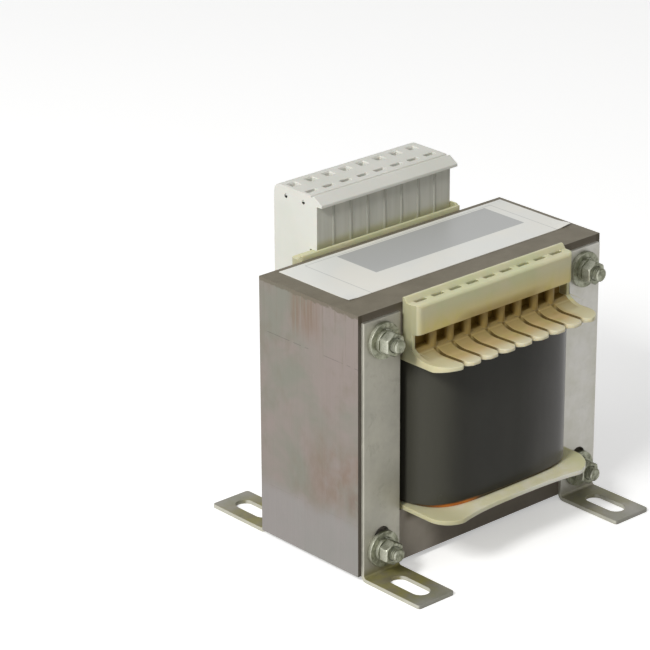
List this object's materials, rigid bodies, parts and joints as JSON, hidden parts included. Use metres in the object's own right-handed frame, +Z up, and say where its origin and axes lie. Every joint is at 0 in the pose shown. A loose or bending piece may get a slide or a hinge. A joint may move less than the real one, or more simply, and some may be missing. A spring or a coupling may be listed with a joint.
{
  "type": "laminated chassis transformer",
  "caption": "Laminated E and I core clamped between slotted angle brackets, with a moulded bobbin, taped coil and a clamp terminal housing.",
  "frame": {"origin": "middle of the plane that the four feet stand on", "axes": "+Z up, -Y towards the front with the nuts, +X to the right seen from the front"},
  "size_m": [0.12, 0.112, 0.1226],
  "materials": {
    "core_steel": "varnished stamped sheet, slightly rusty edges",
    "bobbin_nylon": "moulded polyamide, cream to tan",
    "winding_copper": "enamelled copper",
    "film": "amber insulating film",
    "tape": "dark adhesive tape",
    "zinc": "galvanised sheet with a yellowish passivation",
    "fastener_zinc": "bright zinc plating",
    "housing_white": "moulded polyamide, light grey white",
    "contact_brass": "tinned brass strip",
    "spring_steel": "bright spring strip",
    "label_paper": "white self-adhesive film with a grey field"
  },
  "bodies": {
    "root": {"e_stampings_yoke_down": "core_steel", "e_stampings_yoke_up": "core_steel", "i_stampings_top": "core_steel", "i_stampings_bottom": "core_steel", "bobbin": "bobbin_nylon", "primary_winding": "winding_copper", "winding_film": "film", "secondary_winding": "winding_copper", "outer_film": "film", "tape_wrap": "tape", "front_left_bracket": "zinc", "front_right_bracket": "zinc", "back_left_bracket": "zinc", "back_right_bracket": "zinc", "clamping_bolts": "fastener_zinc", "head_washers": "fastener_zinc", "nut_washers": "fastener_zinc", "lock_washers": "fastener_zinc", "nuts": "fastener_zinc", "terminal_housing": "housing_white", "contact_bars": "contact_brass", "clamp_springs": "spring_steel", "lead_wires": "winding_copper", "label": "label_paper"}
  },
  "joints": []
}
